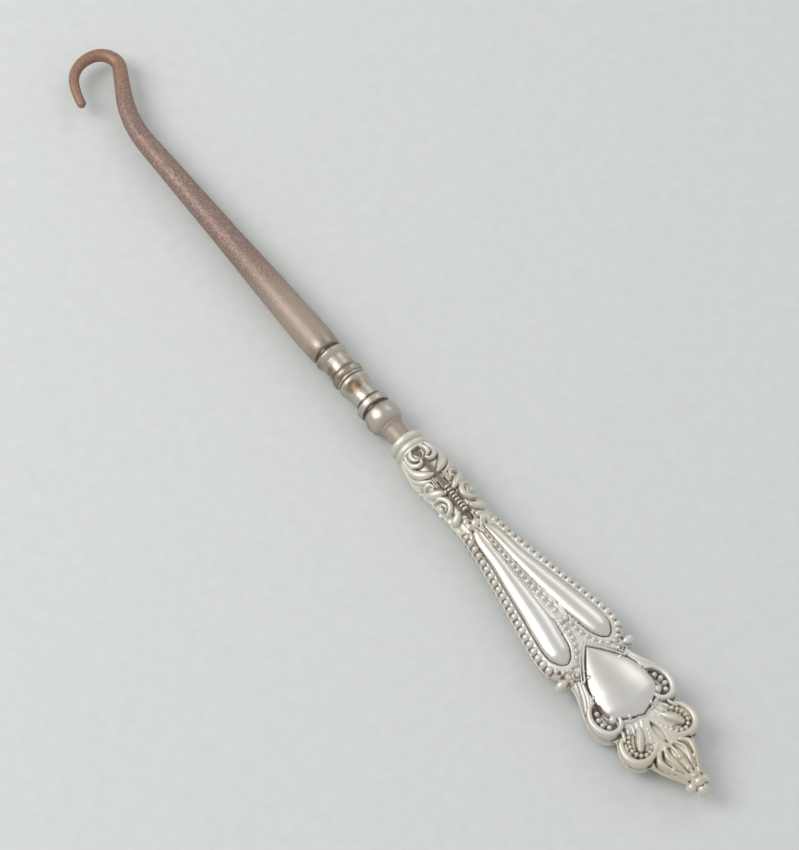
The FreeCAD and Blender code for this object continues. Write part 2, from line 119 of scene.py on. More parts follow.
def make_piece(name, vertices, faces, material, node, normals=None, marks=None):
    """A named piece from vertices in millimetres about the axis and groups of faces."""
    placed = (np.asarray(vertices) + (0.0, 0.0, AXIS)) * MM
    mesh = bpy.data.meshes.new(name)
    corners = np.concatenate([group.ravel() for group in faces])
    sizes = np.concatenate([np.full(len(group), group.shape[1]) for group in faces])
    mesh.vertices.add(len(placed))
    mesh.vertices.foreach_set("co", placed.ravel())
    mesh.loops.add(len(corners))
    mesh.loops.foreach_set("vertex_index", corners)
    mesh.polygons.add(len(sizes))
    mesh.polygons.foreach_set("loop_start", np.concatenate([[0], np.cumsum(sizes)[:-1]]))
    mesh.update(calc_edges=True)
    mesh.validate()
    mesh.polygons.foreach_set("use_smooth", np.ones(len(mesh.polygons), dtype=bool))
    for mark, values in (marks or {}).items():
        layer = mesh.attributes.new(mark, "FLOAT", "POINT")
        layer.data.foreach_set("value", np.ascontiguousarray(values, dtype=np.float32))
    if normals is not None:
        mesh.normals_split_custom_set_from_vertices(normals)
    mesh.materials.append(material)
    piece = bpy.data.objects.new(name, mesh)
    bpy.context.scene.collection.objects.link(piece)
    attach(piece, "root")
    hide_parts(node)


def grid_faces(rows, columns, wrap=False, first=0):
    """Quads over a grid of rows by columns of vertices, joined round the columns if wrapped."""
    r = np.arange(rows - 1)[:, None]
    c = np.arange(columns if wrap else columns - 1)[None, :]
    beside = (c + 1) % columns
    quads = np.stack([r * columns + c, r * columns + beside,
                      (r + 1) * columns + beside, (r + 1) * columns + c], axis=-1)
    return quads.reshape(-1, 4) + first


def lathe_body(rings):
    """Closed body from rings of points: quads between rings and a fan to a centre at each end."""
    rows, columns, _ = rings.shape
    vertices = np.vstack([rings.reshape(-1, 3), rings[0].mean(0), rings[-1].mean(0)])
    c = np.arange(columns)
    beside = (c + 1) % columns
    start = np.stack([np.full(columns, rows * columns), beside, c], axis=1)
    last = (rows - 1) * columns
    finish = np.stack([np.full(columns, rows * columns + 1), last + c, last + beside], axis=1)
    return vertices, [grid_faces(rows, columns, wrap=True), start, finish]


def outward(vertices, faces):
    """The same faces turned so that the closed body's volume is positive."""
    volume = 0.0
    for group in faces:
        a = vertices[group[:, 0]]
        for k in range(1, group.shape[1] - 1):
            volume += np.einsum("ij,ij->", a, np.cross(vertices[group[:, k]],
                                                       vertices[group[:, k + 1]]))
    return faces if volume > 0.0 else [group[:, ::-1] for group in faces]


# ---------------------------------------------------------------- the handle's outline

OUTLINE = [
    (12.9, 3.15), (14.0, 3.35), (16.0, 3.8), (18.0, 4.05), (19.3, 4.1), (20.5, 3.95),
    (22.0, 3.75), (24.0, 3.62), (27.0, 3.58), (30.0, 3.6), (32.0, 3.7), (35.0, 4.0),
    (40.0, 4.8), (45.0, 5.65), (50.0, 6.62), (55.0, 7.62), (58.0, 8.08), (60.0, 8.2),
    (61.2, 8.12), (62.2, 7.75), (63.0, 7.2), (63.6, 6.8), (65.4, 6.35), (66.2, 6.25),
    (67.0, 6.35), (68.0, 6.6), (69.0, 6.95), (70.3, 7.4), (71.5, 7.85), (73.0, 8.3),
    (74.3, 8.45), (75.5, 8.35), (76.5, 7.95), (77.5, 7.2), (78.2, 6.5), (78.5, 6.38),
    (79.0, 6.6), (80.0, 7.15), (81.0, 7.5), (82.0, 7.65), (83.0, 7.55), (84.0, 7.1),
    (84.7, 6.35), (85.2, 5.4), (85.5, 4.8), (86.0, 4.45), (86.7, 4.25), (87.7, 3.75),
    (88.7, 3.2), (89.5, 2.75), (90.2, 2.35), (91.0, 1.9), (91.6, 1.6), (92.5, 1.3), (93.4, 0.7),
    (93.9, 0.0), (94.95, 0.0),
]
KNOB = (64.6, 7.1, 0.95, 1.25)
TIP_BALL = (93.8, 0.0, 1.15)
SIDE_BALL = (92.5, 1.25, 1.0)
FRONT_BALL = (92.6, 0.0, 0.95)


def half_width(x):
    """Half width of the handle: the outline's stations, with the knobs and the finial's balls."""
    width = along(x, OUTLINE)
    for place, reach, half_length, half_breadth in (
            KNOB, (*TIP_BALL, TIP_BALL[2]), (*SIDE_BALL, SIDE_BALL[2])):
        inside = 1.0 - ((x - place) / half_length) ** 2
        lobe = np.where(inside > 0.0, reach + half_breadth * np.sqrt(np.maximum(inside, 0.0)), 0.0)
        width = np.maximum(width, lobe)
    return np.maximum(width, SLIVER)


ROUND_HEIGHT = [
    (12.9, 3.15), (14.0, 3.2), (16.0, 3.3), (19.0, 3.3), (22.0, 3.0), (26.0, 2.8), (30.0, 2.55),
    (34.0, 2.4), (84.0, 2.2), (87.0, 2.15), (89.0, 1.95), (91.0, 1.55), (92.0, 1.25),
    (93.2, 0.8), (94.95, 0.05),
]
WALL_HEIGHT = [
    (12.9, 1.3), (30.0, 1.3), (50.0, 1.35), (60.0, 1.35), (63.5, 1.1), (66.0, 1.1), (70.0, 1.2),
    (74.0, 1.2), (78.4, 0.9), (82.0, 1.1), (85.0, 0.9), (94.95, 0.3),
]
MIDDLE_HEIGHT = [
    (12.9, 2.4), (30.0, 2.35), (45.0, 2.35), (58.0, 2.45), (66.0, 2.4), (76.0, 2.3), (79.0, 2.0),
    (84.0, 1.9), (94.95, 0.5),
]


def bed(x, y):
    """Plain height of the sheet before any ornament.

    Neck and husk are round, height times sqrt(1 - q^2) with q the share of the half width. The
    rest has a steep side wall, height times (1 - q^9)^0.4, and a slow parabolic rise inside it.
    """
    q = np.clip(np.abs(y) / np.maximum(along(x, OUTLINE), SLIVER), 0.0, 1.0)
    wall = along(x, WALL_HEIGHT)
    round_form = along(x, ROUND_HEIGHT) * np.sqrt(1.0 - q**2)
    boxed = wall * (1.0 - q**9) ** 0.4 + (along(x, MIDDLE_HEIGHT) - wall) * (1.0 - q**2)
    share = step(28.0, 33.0, x) * (1.0 - step(85.0, 88.0, x))
    return round_form * (1.0 - share) + boxed * share


# ---------------------------------------------------------------- relief

class Relief:
    """Heights over points (x, s), raised and cut back the way a die is sunk.

    s is the distance from the handle's middle line, so all ornament is the same on both sides.
    """

    def __init__(self, x, s, height):
        self.x, self.s, self.height = x, s, height

    def window(self, low_x, high_x, low_s, high_s):
        return np.nonzero((self.x > low_x) & (self.x < high_x)
                          & (self.s > low_s) & (self.s < high_s))

    def nearest(self, path, reach):
        """Points within reach of a path, their distance from it and the path's values there."""
        where = self.window(path[:, 0].min() - reach, path[:, 0].max() + reach,
                            path[:, 1].min() - reach, path[:, 1].max() + reach)
        points = np.stack([self.x[where], self.s[where]], axis=1)
        a, b = path[:-1], path[1:]
        edge = b[:, :2] - a[:, :2]
        offset = points[:, None, :] - a[None, :, :2]
        t = np.clip((offset * edge).sum(-1) / np.maximum((edge**2).sum(-1), 1e-9), 0.0, 1.0)
        gap = ((offset - t[..., None] * edge) ** 2).sum(-1)
        k = gap.argmin(1)
        rows = np.arange(len(points))
        t = t[rows, k][:, None]
        return where, np.sqrt(gap[rows, k]), a[k, 2:] * (1.0 - t) + b[k, 2:] * t

    def raised(self, where, inside, top):
        """Metal brought up to top where it lies inside, unless it stands higher already."""
        height = self.height[where]
        self.height[where] = np.where(inside, np.maximum(height, top), height)

    def band(self, points, rise=1.0, count=40):
        """Rounded band. A row of points is x, s, radius, level; section level + rise*sqrt(r^2-d^2)."""
        path = flowing(points, count)
        where, gap, values = self.nearest(path, path[:, 2].max())
        radius, level = values[:, 0], values[:, 1]
        top = level + rise * np.sqrt(np.maximum(radius**2 - gap**2, 0.0))
        self.raised(where, gap < radius, top)

    def groove(self, points, width, depth, count=40):
        """Line cut down by depth * exp(-(d / width)^2) along a path of x, s."""
        path = flowing(points, count)
        where, gap, _ = self.nearest(path, 3.0 * width)
        self.height[where] -= depth * np.exp(-((gap / width) ** 2))

    def sink(self, points, width, depth, count=40):
        """Flat-bottomed pit of the given half width, its walls a smooth step a third as wide."""
        path = flowing(points, count)
        where, gap, _ = self.nearest(path, 1.4 * width)
        self.height[where] -= depth * (1.0 - step(0.75 * width, 1.15 * width, gap))

    def pit(self, stations, depth):
        """Hollow on the middle line, its half widths given at places along X."""
        where = self.window(stations[0][0], stations[-1][0], -1.0, 2.0)
        share = self.s[where] / np.maximum(along(self.x[where], stations), SLIVER)
        self.height[where] -= depth * (1.0 - step(0.55, 1.1, share))

    def ring(self, x, s, size, radius, level):
        """Round wire ring of the given size: a band bent into a circle."""
        turn = np.linspace(0.0, 2 * math.pi, 25)
        self.band([(x + size * math.cos(a), s + size * math.sin(a), radius, level) for a in turn])

    def bead(self, x, s, radius, level, rise=1.0, long=1.0, lean=0.0):
        """Half ball, or a half egg when long isn't 1, its longer way leaning from X in degrees."""
        reach = radius * max(long, 1.0)
        where = self.window(x - reach, x + reach, s - reach, s + reach)
        u, v = self.x[where] - x, self.s[where] - s
        cos, sin = math.cos(math.radians(lean)), math.sin(math.radians(lean))
        share = ((u * cos + v * sin) / (radius * long)) ** 2 + ((v * cos - u * sin) / radius) ** 2
        top = level + rise * radius * np.sqrt(np.maximum(1.0 - share, 0.0))
        self.raised(where, share < 1.0, top)

    def row(self, points, pitch, radius, lift=0.0, rise=1.0):
        """Row of beads standing on the plain sheet along a path of x, s."""
        for x, s in spaced(points, pitch):
            self.bead(x, s, radius, float(bed(x, s)) + lift, rise)


PANEL = [
    (31.8, 1.15, 0.02), (33.0, 1.3, 0.6), (35.0, 1.6, 0.98), (40.0, 1.88, 1.2),
    (45.0, 2.41, 1.6), (50.0, 3.0, 1.93), (55.0, 3.66, 2.22), (58.0, 4.16, 2.16),
    (60.0, 4.36, 1.93), (61.2, 4.42, 1.4), (62.0, 4.45, 0.8), (62.45, 4.45, 0.02),
]
PANEL_CROWN = [
    (31.8, 0.0), (34.0, 0.35), (40.0, 0.6), (50.0, 0.85), (57.0, 1.0), (60.0, 0.9), (61.4, 0.6),
    (62.45, 0.0),
]
HEART_HALF = [
    (61.9, 0.02), (62.8, 0.72), (64.0, 1.72), (65.0, 2.5), (66.0, 3.18), (67.0, 3.82),
    (68.0, 4.4), (70.0, 5.05), (72.0, 5.4), (74.0, 5.25), (75.2, 4.6), (76.0, 3.65), (76.6, 2.65),
    (77.0, 1.75), (77.4, 0.9), (77.7, 0.02),
]
HEART_MIDDLE = [
    (61.9, 2.35), (63.0, 2.55), (66.0, 3.05), (69.0, 3.45), (72.0, 3.66), (74.5, 3.55),
    (76.5, 3.1), (77.7, 2.55),
]


SUNK_LINE_WIDTH = 0.17
SUNK_LINE_GAP = 0.1
PANEL_LINE_DEPTH = 0.32
HEART_LINE_DEPTH = 0.36
PANEL_FLOOR = 2.12
PANEL_FLOOR_FALL = 0.16
HEART_FLOOR = 2.3


def within(x, stations):
    """Where x lies between the first and the last station."""
    return (x > stations[0][0]) & (x < stations[-1][0])


def panel_form(x):
    """Distance of a panel's middle from the middle line, and its half width."""
    middle = along(x, [row[:2] for row in PANEL])
    return middle, np.maximum(along(x, [(row[0], row[2]) for row in PANEL]), SLIVER)


def panels_and_heart(die):
    """The two long polished tear-drop panels and the plain heart, each in a sunk line."""
    x, s = die.x, die.s
    middle, half = panel_form(x)
    t = (s - middle) / half
    for side in (-1.0, 1.0):
        die.groove([(px, pm + side * (ph + SUNK_LINE_GAP)) for px, pm, ph in PANEL],
                   SUNK_LINE_WIDTH, PANEL_LINE_DEPTH, 160)
    floor = PANEL_FLOOR - PANEL_FLOOR_FALL * np.clip(t, -1.0, 1.0)
    dome = floor + along(x, PANEL_CROWN) * np.maximum(1.0 - t**2, 0.0) ** 0.62
    die.height = np.where(within(x, PANEL) & (np.abs(t) < 1.0), np.maximum(die.height, dome),
                          die.height)

    t = s / np.maximum(along(x, HEART_HALF), SLIVER)
    die.groove([(hx, hh + SUNK_LINE_GAP) for hx, hh in HEART_HALF], SUNK_LINE_WIDTH,
               HEART_LINE_DEPTH, 160)
    crown = along(x, HEART_MIDDLE) - HEART_FLOOR
    dome = HEART_FLOOR + crown * np.maximum(1.0 - t**2, 0.0) ** 0.65
    die.height = np.where(within(x, HEART_HALF) & (t < 1.0), dome, die.height)


def polished(x, s):
    """1 on the burnished panels and heart, 0 on the frosted ornament round them."""
    middle, half = panel_form(x)
    panel = (np.abs(s - middle) < half) & within(x, PANEL)
    heart = (s < along(x, HEART_HALF)) & within(x, HEART_HALF)
    return (panel | heart).astype(float)


BORDER_PITCH = 1.48
BORDER_RADIUS = 0.68


def bead_rows(die):
    """Pearled border, the pearled line down the middle and the pearls round heart and panels."""
    border = spaced([(30.9, 3.0), (33.0, 3.1), (36.0, 3.44), (40.0, 4.12), (45.0, 5.0),
                     (50.0, 5.96), (55.0, 6.96), (58.0, 7.42), (60.0, 7.54), (61.3, 7.4)],
                    BORDER_PITCH)
    for k, (x, s) in enumerate(border):
        before, after = border[max(k - 1, 0)], border[min(k + 1, len(border) - 1)]
        lean = math.degrees(math.atan2(after[1] - before[1], after[0] - before[0])) + 90.0
        die.bead(x, s, BORDER_RADIUS, float(bed(x, s)) - 0.08, 0.95, 1.06, lean)
    die.row([(62.3, 6.75), (63.2, 5.95), (63.7, 4.95), (63.65, 3.75), (62.65, 2.62),
             (61.4, 1.78), (59.9, 1.1), (58.4, 0.74), (56.9, 0.6), (55.6, 0.52)], 1.28, 0.47, 0.08)
    for x in np.cumsum(np.concatenate([[33.6], np.linspace(1.12, 1.5, 15)])):
        die.bead(x, 0.0, float(np.interp(x, [33.0, 54.0], [0.36, 0.58])), 2.42, 0.85)
    die.bead(65.2, 4.45, 0.42, float(bed(65.2, 4.45)) + 0.12)
    die.ring(65.2, 4.45, 0.76, 0.15, float(bed(65.2, 4.45)) + 0.05)
    die.row([(64.6, 5.6), (65.6, 5.75)], 0.9, 0.36, 0.05)
    for offset in (0.5, 0.8):
        die.band([(33.5, offset - 0.16, 0.1, 2.36), (44.0, offset, 0.11, 2.38),
                  (54.0, offset + 0.36, 0.11, 2.4), (57.5, offset + 0.85, 0.1, 2.42)], 1.6)
    for offset, radius in ((0.42, 0.2), (0.95, 0.14)):
        die.band([(61.9 - offset, 0.0, radius, 2.42), (62.8 - offset * 0.6, 0.72 + offset * 0.8,
                  radius, 2.4), (64.0 - offset * 0.6, 1.75 + offset * 0.8, radius, 2.36),
                  (66.0 - offset * 0.6, 3.15 + offset * 0.8, radius, 2.25),
                  (67.2 - offset * 0.6, 3.9 + offset * 0.8, radius, 2.15)], 1.3)


def side_scrolls(die):
    """A C scroll on each side of the heart with flutes running into it, and the side knobs."""
    for start, finish in (((66.4, 5.15), (71.4, 7.35)), ((67.4, 4.9), (71.5, 6.75)),
                          ((69.0, 5.3), (71.3, 6.2))):
        middle = ((start[0] + finish[0]) / 2 + 0.25, (start[1] + finish[1]) / 2 - 0.15)
        die.band([(*start, 0.26, 1.9), (*middle, 0.42, 1.85), (*finish, 0.34, 1.75)], 1.15)
    die.sink([(72.4, 6.2), (73.8, 6.6), (75.3, 6.4), (76.2, 5.7)], 0.95, 0.7)
    for x, s in ((72.8, 6.25), (73.9, 6.75), (75.05, 6.75), (76.05, 6.1)):
        die.bead(x, s, 0.52, 1.35, 1.25)
    die.band([(71.0, 5.6, 0.26, 2.0), (71.4, 6.7, 0.42, 1.75), (72.5, 7.55, 0.52, 1.5),
              (74.0, 7.95, 0.58, 1.45), (75.6, 7.75, 0.6, 1.5), (76.9, 7.0, 0.6, 1.55),
              (77.45, 5.9, 0.56, 1.7), (77.3, 4.8, 0.5, 1.85), (76.6, 4.05, 0.42, 2.0),
              (75.8, 3.85, 0.34, 2.1)], 1.15, 60)
    die.bead(75.35, 4.85, 0.74, 1.75, 1.05)
    die.band([(76.5, 4.3, 0.12, 2.2), (77.3, 3.1, 0.15, 2.15), (77.75, 2.1, 0.16, 2.1),
              (77.6, 1.2, 0.16, 2.1), (77.95, 0.35, 0.16, 2.1), (78.05, 0.0, 0.16, 2.1)], 1.4)
    die.bead(76.75, 2.3, 0.34, 2.45, 1.0)
    die.bead(77.0, 1.15, 0.3, 2.5, 1.0)
    place, reach, half_length, half_breadth = KNOB
    die.bead(place, reach, half_length, 0.3, 1.1, half_breadth / half_length, 90.0)
    die.bead(66.95, 3.35, 0.42, 2.5, 0.9)
    die.bead(66.95, 4.7, 0.34, 2.0, 1.0, 1.9, 90.0)
    die.bead(68.2, 5.75, 0.4, 1.85, 1.0, 1.4, 60.0)
    die.bead(70.4, 4.95, 0.4, 2.35, 0.9)


def petals_and_husk(die):
    """Two leaning petals with a rolled rim and pearls, then the husk and the finial's balls."""
    die.pit([(79.2, 0.02), (80.3, 0.5), (81.6, 0.68), (83.0, 0.5), (84.3, 0.02)], 0.6)
    for start in (1.05, 2.0, 3.0, 4.0, 5.0):
        die.band([(78.15, start, 0.24, 1.8), (78.9, start + 0.25, 0.32, 1.75),
                  (79.6, start + 0.6, 0.26, 1.65)], 1.1)
    die.sink([(79.8, 4.4), (81.2, 5.3), (82.8, 5.3), (83.5, 4.2), (82.9, 3.0)], 0.75, 0.3)
    die.band([(78.9, 5.75, 0.34, 1.2), (79.7, 6.45, 0.5, 1.15), (81.0, 6.95, 0.6, 1.1),
              (82.4, 7.0, 0.66, 1.1), (83.7, 6.45, 0.7, 1.1), (84.5, 5.3, 0.68, 1.2),
              (84.65, 4.0, 0.62, 1.3), (84.2, 2.7, 0.55, 1.4), (83.5, 1.7, 0.46, 1.45),
              (82.6, 1.0, 0.34, 1.5)], 1.15, 60)
    for x, s in spaced([(79.5, 4.7), (80.6, 5.45), (82.0, 5.75), (83.2, 5.2), (83.8, 4.1),
                        (83.4, 3.0), (82.5, 2.1), (81.3, 1.4), (80.2, 1.1)], 0.9):
        die.bead(x, s, 0.41, 1.6, 1.15)
    die.band([(79.4, 2.4, 0.4, 1.9), (80.4, 3.05, 0.7, 1.85), (81.6, 3.9, 0.76, 1.8),
              (82.5, 4.5, 0.5, 1.7)], 1.15)
    die.groove([(79.4, 2.75), (80.6, 3.6), (81.8, 4.45)], 0.1, 0.22)
    die.band([(84.8, 2.3, 0.4, 1.4), (86.0, 3.2, 0.6, 1.3), (87.5, 2.95, 0.55, 1.25),
              (89.2, 2.0, 0.45, 1.2), (91.2, 1.1, 0.35, 1.0)], 1.3)
    die.band([(84.5, 0.9, 0.35, 1.7), (86.0, 1.7, 0.45, 1.65), (87.6, 1.6, 0.4, 1.6),
              (89.3, 0.95, 0.35, 1.5)], 1.3)
    die.band([(85.2, 0.0, 0.28, 1.9), (87.0, 0.0, 0.32, 2.0), (90.8, 0.0, 0.3, 1.55)], 1.1)
    for points in ([(85.0, 1.7), (86.5, 2.45), (88.2, 2.25), (90.2, 1.35)],
                   [(85.0, 0.5), (86.5, 0.85), (88.5, 0.75), (90.5, 0.5)],
                   [(85.2, 3.6), (86.6, 3.95), (88.4, 3.0)]):
        die.groove(points, 0.16, 0.4)
    die.bead(87.5, 0.0, 0.62, 1.95, 1.0)
    die.bead(89.8, 0.0, 0.6, 1.6, 1.0)
    die.bead(88.6, 2.3, 0.58, 1.35, 1.0)
    die.bead(91.3, 0.0, 0.5, 1.3, 0.8)
    for place, reach, radius in (TIP_BALL, SIDE_BALL):
        die.bead(place, reach, radius, 0.0)
    die.bead(FRONT_BALL[0], 0.0, FRONT_BALL[2], 0.95)


def neck_ornament(die):
    """Scrolls, leaves and a ribbed stem wrapped round the neck, drawn on the unrolled surface."""
    die.pit([(13.2, 1.15), (14.2, 0.95), (15.0, 0.5), (15.6, 0.02)], 0.45)
    die.groove([(16.6, 0.0), (18.0, 0.0), (19.6, 0.0)], 0.5, 0.12)
    die.band([(13.3, 1.1, 0.3, -0.05), (14.4, 1.6, 0.4, 0.0), (15.3, 1.45, 0.4, 0.0),
              (15.7, 0.95, 0.28, 0.0)])
    die.band([(13.2, 2.5, 0.32, -0.05), (14.6, 2.75, 0.45, 0.0), (15.9, 2.35, 0.48, 0.02),
              (16.6, 1.55, 0.45, 0.02), (16.6, 0.85, 0.36, 0.0), (16.0, 0.5, 0.24, 0.0)],
             0.95, 60)
    die.band([(13.6, 4.75, 0.4, -0.2), (16.0, 4.9, 0.5, -0.2), (17.9, 4.35, 0.56, -0.18),
              (19.1, 3.4, 0.56, -0.15), (19.9, 2.4, 0.48, -0.1), (20.2, 1.7, 0.3, -0.05)], 1.0, 60)
    die.groove([(16.0, 4.3), (17.4, 3.85), (18.6, 3.0), (19.5, 1.9)], 0.18, 0.3)
    die.band([(13.6, 3.55, 0.4, -0.1), (15.0, 3.7, 0.62, -0.18), (16.5, 3.45, 0.78, -0.2),
              (17.8, 2.75, 0.86, -0.22), (18.7, 1.85, 0.78, -0.18), (19.3, 1.05, 0.55, -0.1),
              (19.5, 0.55, 0.3, 0.0)], 0.92, 60)
    die.bead(20.0, 4.7, 0.42, -0.1)
    for s in (1.05, 1.42):
        die.band([(20.1, s, 0.14, -0.08), (22.0, s, 0.14, -0.08)])
    die.band([(21.5, 1.85, 0.26, -0.05), (20.75, 2.1, 0.32, -0.05), (20.45, 3.0, 0.34, -0.05),
              (20.7, 3.85, 0.32, -0.05), (21.3, 4.2, 0.26, -0.05)])
    die.groove([(23.7, 1.9), (23.9, 2.8), (23.5, 3.8)], 0.28, 0.25)
    die.band([(23.5, 0.95, 0.42, -0.02), (23.0, 1.9, 0.76, -0.15), (22.4, 3.0, 0.84, -0.18),
              (21.8, 4.1, 0.66, -0.15), (21.5, 4.8, 0.36, -0.1)], 0.9)
    die.groove([(21.2, 0.8), (23.0, 0.86), (26.0, 0.88), (28.8, 0.7)], 0.24, 0.4)
    for x in np.linspace(22.9, 28.15, 8):
        die.bead(x, 0.0, 0.36, -0.12, 1.0, 1.35, 90.0)
    die.pit([(28.3, 0.02), (28.7, 0.5), (29.5, 0.62), (30.2, 0.5), (30.5, 0.02)], 0.35)
    die.groove([(28.5, 0.3), (29.4, 0.36), (30.2, 0.25)], 0.1, 0.18)
    die.groove([(27.55, 2.6), (27.7, 3.5), (27.6, 4.5)], 0.35, 0.28)
    die.band([(23.5, 3.7, 0.3, -0.05), (23.75, 2.6, 0.42, 0.0), (24.5, 1.8, 0.48, 0.02),
              (25.7, 1.5, 0.5, 0.02), (26.7, 2.1, 0.5, 0.0), (26.95, 3.2, 0.44, -0.03),
              (26.6, 4.1, 0.3, -0.08)], 1.0, 60)
    die.band([(24.65, 3.3, 0.22, 0.0), (24.95, 2.65, 0.3, 0.0), (25.75, 2.4, 0.32, 0.0),
              (26.1, 2.9, 0.22, 0.0)])
    die.bead(25.4, 3.65, 0.7, -0.05)
    die.bead(23.4, 4.35, 0.5, -0.08)
    die.bead(27.0, 4.95, 0.45, -0.08)
    die.band([(28.2, 1.35, 0.45, -0.05), (28.75, 2.2, 0.8, -0.15), (28.95, 3.1, 0.86, -0.18),
              (28.8, 4.0, 0.55, -0.12)], 0.92)
    die.bead(30.3, 1.3, 0.56, -0.08, 0.9, 1.2, 40.0)
    die.bead(31.5, 1.4, 0.52, -0.12, 0.9)
    die.band([(30.2, 1.7, 0.3, -0.1), (31.5, 1.15, 0.45, -0.12), (32.5, 0.55, 0.42, -0.1),
              (33.0, 0.0, 0.26, -0.1)], 0.95)
    die.bead(31.4, 0.0, 0.85, -0.3, 0.75)


# ---------------------------------------------------------------- struck shells

COLUMNS = 209
STRIDE = 4              # the sheet's inner grid takes every fourth row and column of the outer one
HANDLE_START = 12.9
MID_OFFSET = 0.35
NECK_GROUND = -0.38
VALLEY_WIDTH = 0.95
BREAKS = (31.0, 62.6)


def shell_rows():
    """Places of the grid's rows: even steps, then closing in on the round tip."""
    tip = TIP_BALL[0] + TIP_BALL[2] * np.sin(np.linspace(0.0, math.pi / 2, 33))
    return [np.linspace(HANDLE_START, BREAKS[0], 225), np.linspace(BREAKS[0], BREAKS[1], 317),
            np.concatenate([np.linspace(BREAKS[1], TIP_BALL[0], 353)[:-1], tip])]


def softened(values, rows, columns):
    """Running mean over a block of the grid, rows and columns being its half sizes."""
    for axis, half in ((0, rows), (1, columns)):
        pad = [(half + 1, half) if k == axis else (0, 0) for k in (0, 1)]
        total = np.cumsum(np.pad(values, pad, mode="edge"), axis=axis)
        size = 2 * half + 1
        high = np.take(total, range(size, total.shape[axis]), axis=axis)
        low = np.take(total, range(0, total.shape[axis] - size), axis=axis)
        values = (high - low) / size
    return values


def struck_surface():
    """Front of the handle: a grid of points, its normals, its marks and the rows of each length.

    Columns turn through theta from seam to seam: y = half width * sin(theta), so they crowd on
    the side walls. z is the relief, and round the neck the ornament stands off along the normal.
    """
    places = shell_rows()
    x_rows = np.concatenate([places[0], places[1][1:], places[2][1:]])
    theta = np.linspace(-math.pi / 2, math.pi / 2, COLUMNS)
    x, angle = np.meshgrid(x_rows, theta, indexing="ij")
    width = half_width(x)
    y = width * np.sin(angle)
    plain = bed(x, y)

    middle = -MID_OFFSET * (1.0 - step(40.0, 54.0, x)) * np.cos(angle)
    die = Relief(x, np.abs(y - middle), plain.copy())
    panels_and_heart(die)
    bead_rows(die)
    side_scrolls(die)
    petals_and_husk(die)
    share = step(30.5, 32.5, x)
    z = plain * (1.0 - share) + die.height * share

    turn = np.abs(angle * (width + along(x, ROUND_HEIGHT)) / 2 - middle)
    wrap = Relief(x, turn, np.full_like(x, NECK_GROUND))
    neck_ornament(wrap)
    off = wrap.height * (1.0 - step(31.8, 33.0, x)) * step(13.0, 13.5, x)
    off = off * step(0.0, 0.3, np.cos(angle))
    up = np.cos(angle) / along(x, ROUND_HEIGHT)
    across = np.sin(angle) / width
    length = np.hypot(up, across)
    y = y + off * across / length
    z = z + off * up / length
    z[:, 0] = z[:, -1] = 0.0
    z = np.maximum(z, 0.0)

    surface = np.stack([x, y, z], axis=-1)
    normal = np.cross(np.gradient(surface, axis=0), np.gradient(surface, axis=1))
    normal /= np.maximum(np.linalg.norm(normal, axis=-1, keepdims=True), 1e-9)
    level = z - plain
    valley = np.exp(-((turn / VALLEY_WIDTH) ** 2))
    valley = valley * step(13.2, 14.0, x) * (1.0 - step(29.8, 31.0, x))
    depth = (softened(level, 6, 4) - level) / TARNISH_DEPTH
    marks = {"hollow": np.clip(depth + 1.1 * valley, -1.0, 1.2), "polish": polished(x, die.s)}
    return surface, normal, marks, [len(rows) for rows in places]


def stitch(fine, coarse):
    """Triangles between a fine edge and a coarse one that takes every fourth vertex of it."""
    k = np.arange(len(coarse) - 1)
    near, far, first, half = coarse[k], coarse[k + 1], STRIDE * k, STRIDE // 2
    parts = [np.stack([fine[first + j], fine[first + j + 1], near if j < half else far], axis=1)
             for j in range(STRIDE)]
    parts.append(np.stack([near, fine[first + half], far], axis=1))
    return np.concatenate(parts)


def lowest(values, reach):
    """Lowest value within reach rows and columns of each place of the grid."""
    rows, columns = values.shape
    padded = np.pad(values, reach, mode="edge")
    spans = [padded[i:i + rows] for i in range(2 * reach + 1)]
    across = np.minimum.reduce(spans)
    return np.minimum.reduce([across[:, j:j + columns] for j in range(2 * reach + 1)])


def inside_face(outer):
    """Back of the struck sheet, on every fourth row and column: plain, and under every hollow."""
    inner = outer[::STRIDE, ::STRIDE].copy()
    angle = np.linspace(-math.pi / 2, math.pi / 2, outer.shape[1])[::STRIDE]
    inner[..., 1] = np.maximum(half_width(inner[..., 0]) - SHEET, 0.01) * np.sin(angle)
    under = lowest(outer[..., 2], 5)[::STRIDE, ::STRIDE] - 0.2
    plain = bed(inner[..., 0], inner[..., 1]) - 0.6
    inner[..., 2] = np.maximum(np.minimum(plain, under), 0.0)
    return inner


def sheet_body(outer, inner, normal, marks):
    """Closed sheet: the outer grid, the inner one, and edges stitched between them."""
    rows, columns, _ = outer.shape
    inner_rows, inner_columns, _ = inner.shape
    count = rows * columns
    vertices = np.vstack([outer.reshape(-1, 3), inner.reshape(-1, 3)])
    fine = np.arange(count).reshape(rows, columns)
    coarse = np.arange(inner_rows * inner_columns).reshape(inner_rows, inner_columns) + count
    faces = [grid_faces(rows, columns), grid_faces(inner_rows, inner_columns, first=count)[:, ::-1],
             stitch(fine[0], coarse[0])[:, ::-1], stitch(fine[-1], coarse[-1]),
             stitch(fine[:, 0], coarse[:, 0]), stitch(fine[:, -1], coarse[:, -1])[:, ::-1]]
    normals = np.vstack([normal.reshape(-1, 3), np.tile((0.0, 0.0, -1.0), (inner.size // 3, 1))])
    marks = {mark: np.concatenate([values.ravel(), np.zeros(inner.size // 3)])
             for mark, values in marks.items()}
    return vertices, faces, normals, marks


